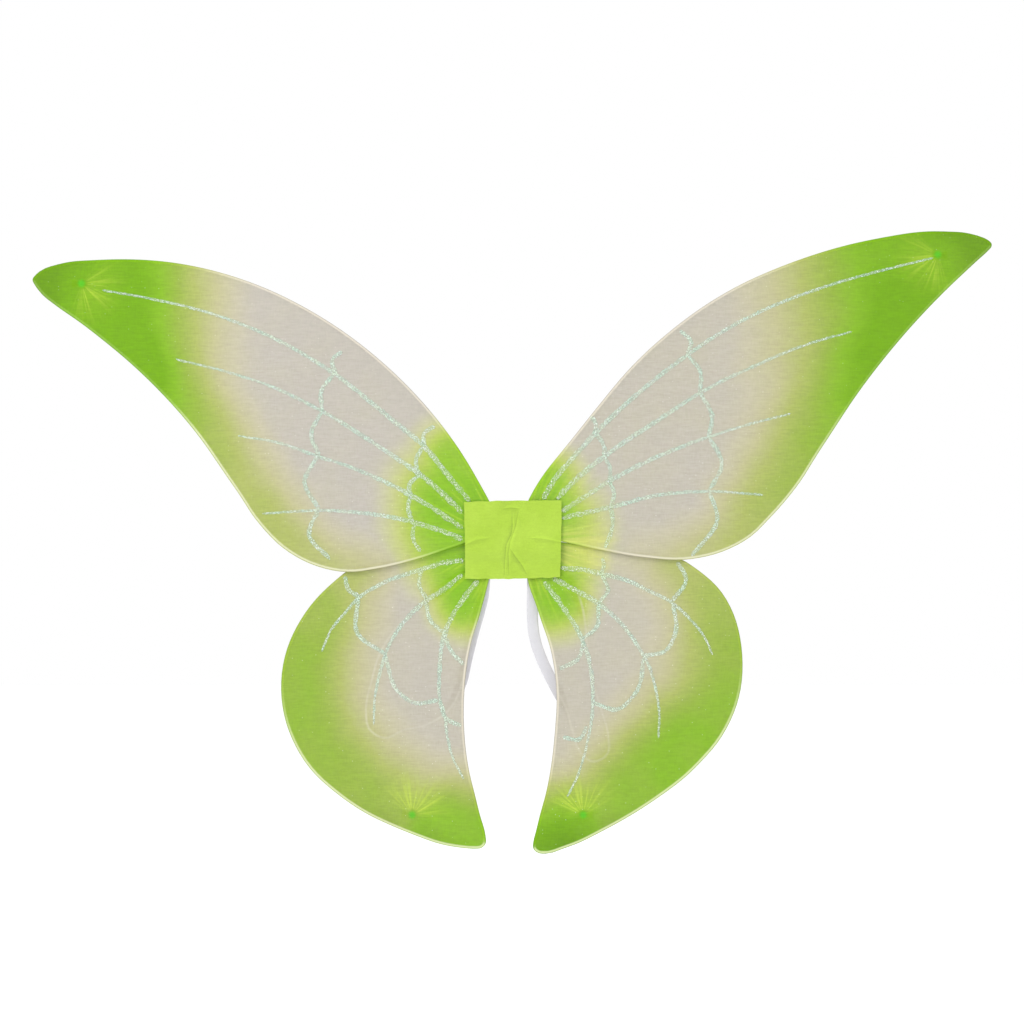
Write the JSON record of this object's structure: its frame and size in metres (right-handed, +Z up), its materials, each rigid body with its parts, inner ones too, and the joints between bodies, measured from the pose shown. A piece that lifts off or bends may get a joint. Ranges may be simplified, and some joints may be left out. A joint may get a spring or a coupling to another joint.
{
  "type": "fairy wings",
  "caption": "Sheer wire-framed costume wings with glitter veins, worn on the back by two elastic arm loops; each side folds forward at the felt centre patch.",
  "frame": {"origin": "centre of the back patch's rear face, where the wings rest on the wearer's back", "axes": "+Y out of the back patch towards the wearer, +Z up as worn, +X along the wing span"},
  "size_m": [0.8623, 0.0165, 0.5602],
  "materials": {
    "frame_wire": "bent spring wire",
    "wing_net": "sheer dyed nylon net, green at tips and edges, cream in the middle",
    "glitter_glue": "raised iridescent mint glitter glue",
    "net_knot": "knotted green net",
    "front_felt": "lime green needle felt",
    "back_felt": "lime green needle felt",
    "elastic": "white woven flat elastic",
    "binding_tape": "white binding tape",
    "hot_glue": "clear-yellow hot glue"
  },
  "bodies": {
    "hub": {"back_patch": "back_felt", "front_patch": "front_felt"},
    "left_wings": {"upper_left_frame_wire": "frame_wire", "upper_left_net_cover": "wing_net", "upper_left_glitter_veins": "glitter_glue", "upper_left_tip_knot": "net_knot", "lower_left_frame_wire": "frame_wire", "lower_left_net_cover": "wing_net", "lower_left_glitter_veins": "glitter_glue", "lower_left_tip_knot": "net_knot", "left_root_tape": "binding_tape", "left_glue_pad": "hot_glue", "left_strap_ends": "elastic"},
    "left_strap": {"left_arm_strap": "elastic"},
    "right_wings": {"upper_right_frame_wire": "frame_wire", "upper_right_net_cover": "wing_net", "upper_right_glitter_veins": "glitter_glue", "upper_right_tip_knot": "net_knot", "lower_right_frame_wire": "frame_wire", "lower_right_net_cover": "wing_net", "lower_right_glitter_veins": "glitter_glue", "lower_right_tip_knot": "net_knot", "right_root_tape": "binding_tape", "right_glue_pad": "hot_glue", "right_strap_ends": "elastic"},
    "right_strap": {"right_arm_strap": "elastic"}
  },
  "joints": [
    {"name": "left_fold", "type": "hinge", "parent": "hub", "child": "left_wings", "pos_m": [-0.0095, -0.005, 0], "axis": [0, 0, 1], "range_deg": [0, 86], "deforming": ["back_patch", "front_patch"]},
    {"name": "right_fold", "type": "hinge", "parent": "hub", "child": "right_wings", "pos_m": [0.0095, -0.005, 0], "axis": [0, 0, -1], "range_deg": [0, 86], "deforming": ["back_patch", "front_patch"]},
    {"name": "left_strap_swing", "type": "hinge", "parent": "left_wings", "child": "left_strap", "pos_m": [-0.025, -0.0016, -0.0365], "axis": [0.9879, 0, -0.1552], "range_deg": [0, 85], "deforming": ["left_arm_strap"]},
    {"name": "right_strap_swing", "type": "hinge", "parent": "right_wings", "child": "right_strap", "pos_m": [0.018, -0.0016, -0.0365], "axis": [0.9712, 0, 0.2382], "range_deg": [0, 85], "deforming": ["right_arm_strap"]}
  ]
}
